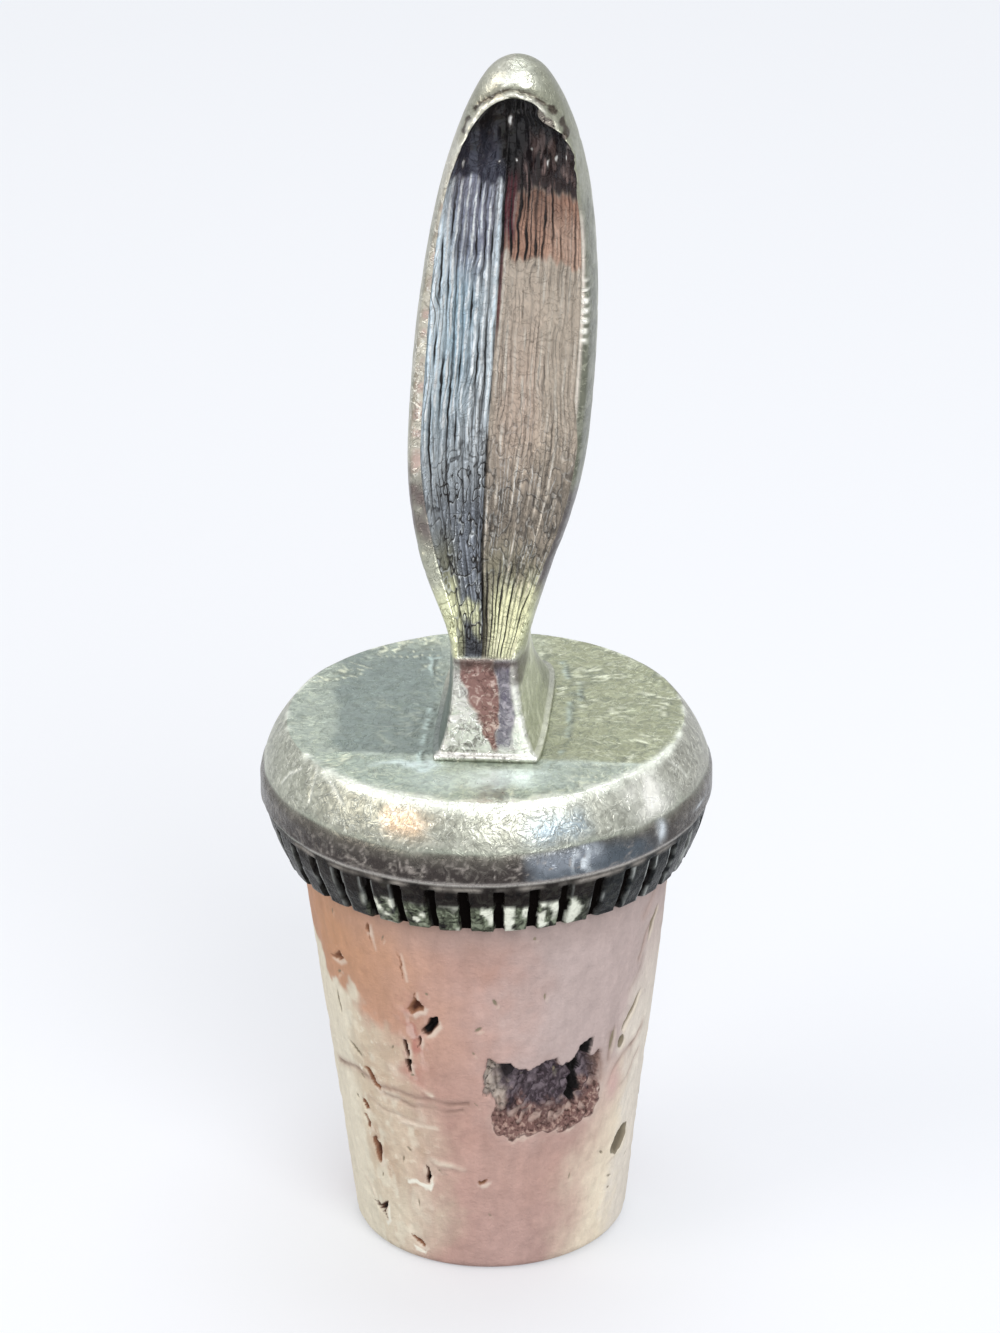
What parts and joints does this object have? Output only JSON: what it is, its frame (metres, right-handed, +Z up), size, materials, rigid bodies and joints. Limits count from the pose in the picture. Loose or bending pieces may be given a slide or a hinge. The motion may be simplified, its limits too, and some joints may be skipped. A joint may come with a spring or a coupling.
{
  "type": "bottle stopper",
  "caption": "Bottle stopper with a tapered cork plug, a round pewter cap with a milled lower edge and a tall hooded pewter finial with a hollow, ribbed face.",
  "frame": {"origin": "centre of the cork's lower end, on the cork's axis", "axes": "+Z up the cork's axis to the finial, -Y to the side the finial's hollow face looks to, +X to the side the finial leans to"},
  "size_m": [0.028, 0.028, 0.0784],
  "materials": {
    "cork": "natural cork, dry and sanded, pinkish tan with a torn patch and dark pores",
    "pewter": "cast pewter, satin, finely dented, with black antiquing in its recesses",
    "steel": "plain zinc-coated steel, hidden inside"
  },
  "bodies": {
    "root": {"cork": "cork", "cap": "pewter", "stud": "steel", "finial": "pewter"}
  },
  "joints": []
}
